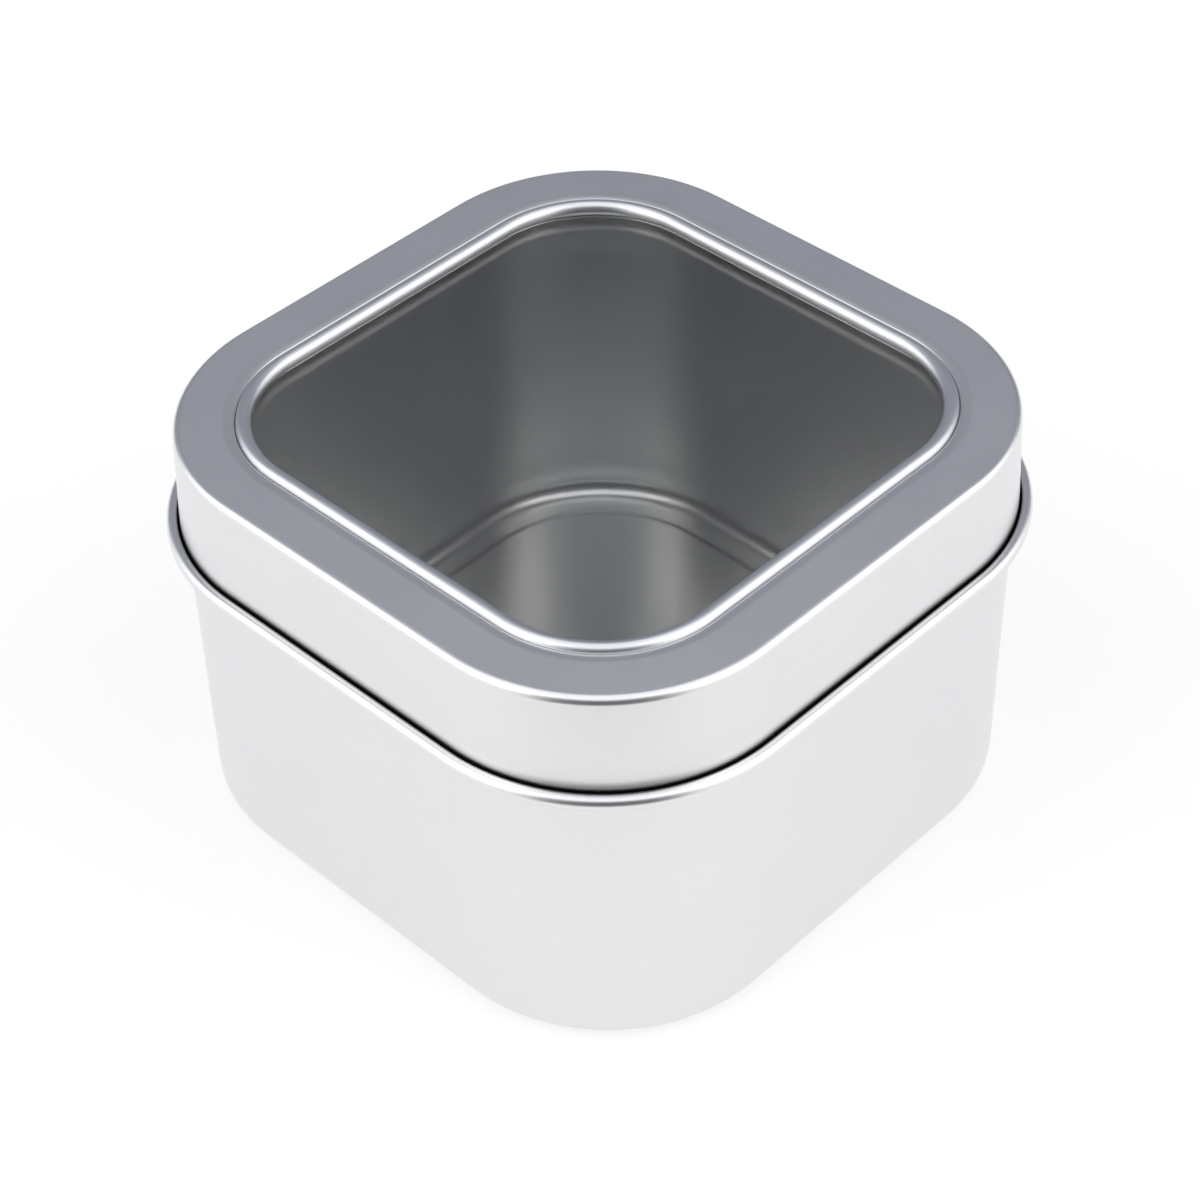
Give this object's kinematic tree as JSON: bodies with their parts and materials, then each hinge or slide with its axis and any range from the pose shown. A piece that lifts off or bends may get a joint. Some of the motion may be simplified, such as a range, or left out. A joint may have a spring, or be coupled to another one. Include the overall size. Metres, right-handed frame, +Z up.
{
  "type": "window lid tin",
  "caption": "Square deep-drawn tin with round corners and a slip-over lid. The lid has a rolled lower edge, and its flat frame holds a clear window under a rolled ring.",
  "frame": {"origin": "middle of the base, on the surface that the tin stands on", "axes": "+Z up, the way the lid lifts off; +X and +Y square to two neighbouring sides"},
  "size_m": [0.08, 0.08, 0.0501],
  "materials": {
    "body_tinplate": "satin silver",
    "lid_tinplate": "satin silver",
    "ring_tinplate": "satin silver",
    "clear_pane": "clear gloss"
  },
  "bodies": {
    "tin": {"tin_body": "body_tinplate"},
    "lid": {"lid_shell": "lid_tinplate", "window_ring": "ring_tinplate", "window_pane": "clear_pane"}
  },
  "joints": [
    {"name": "lid_lift", "type": "slide", "parent": "tin", "child": "lid", "axis": [0, 0, 1], "range_m": [0, 0.03]}
  ]
}
